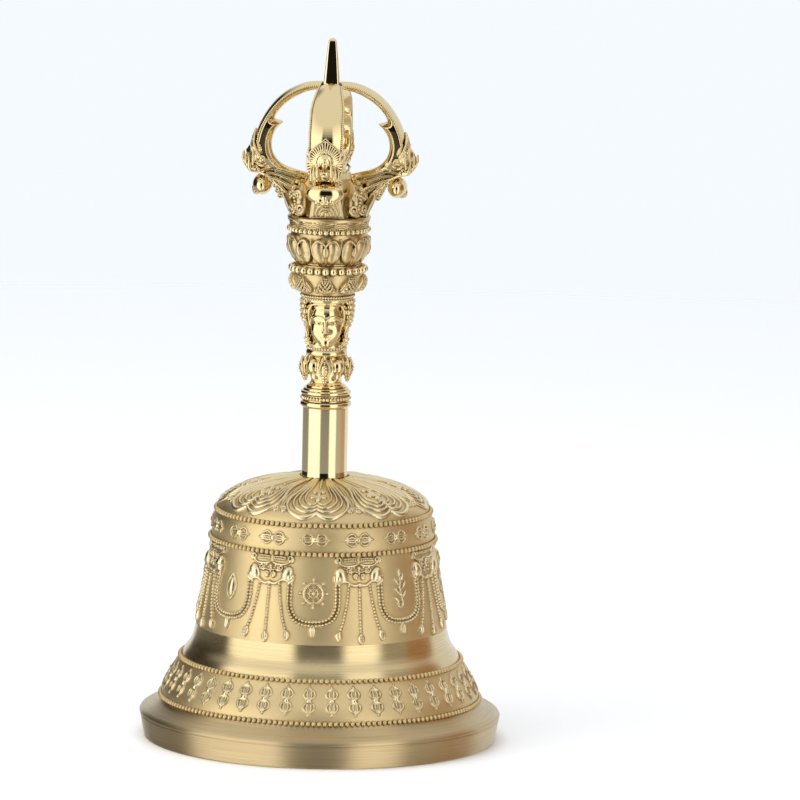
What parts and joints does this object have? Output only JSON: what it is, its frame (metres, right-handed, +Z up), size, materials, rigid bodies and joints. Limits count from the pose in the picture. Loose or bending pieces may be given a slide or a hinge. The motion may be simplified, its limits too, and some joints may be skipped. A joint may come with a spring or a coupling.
{
  "type": "ritual hand bell",
  "caption": "Cast brass ritual hand bell with a polished stacked handle, a face, a lotus, a cage of prongs, and a hanging clapper.",
  "frame": {"origin": "centre of the bell's mouth, in the plane of the rim it stands on", "axes": "+Z up along the handle, -Y is the way the face on the handle looks"},
  "size_m": [0.093, 0.093, 0.181],
  "materials": {
    "satin_brass": "sand-blasted relief with lathe-brushed bands",
    "polished_brass": "mirror polished",
    "turned_brass": "turned, lightly oxidised",
    "plain_steel": "zinc plated",
    "gasket_leather": "matt, cut edge"
  },
  "bodies": {
    "bell_and_handle": {"bell_body": "satin_brass", "crown_gasket": "gasket_leather", "handle_sleeve": "polished_brass", "vase_section": "polished_brass", "head_section": "polished_brass", "garland_section": "polished_brass", "lotus_cup": "polished_brass", "prong_base": "polished_brass", "prong_front": "polished_brass", "prong_right": "polished_brass", "prong_back": "polished_brass", "prong_left": "polished_brass", "centre_prong": "polished_brass", "tie_rod": "plain_steel", "crown_washer": "plain_steel", "crown_nut": "plain_steel", "clapper_eye": "plain_steel"},
    "hanger_link": {"hanger_ring": "turned_brass"},
    "clapper": {"clapper_rod": "turned_brass", "clapper_bob": "turned_brass"}
  },
  "joints": [
    {"name": "hanger_ring_turn", "type": "hinge", "parent": "bell_and_handle", "child": "hanger_link", "pos_m": [0, 0, 0.05], "axis": [0, 0, 1], "range_deg": [-35, 35]},
    {"name": "clapper_swing", "type": "hinge", "parent": "hanger_link", "child": "clapper", "pos_m": [0, 0, 0.0442], "axis": [0, 1, 0], "range_deg": [-42, 42]}
  ]
}
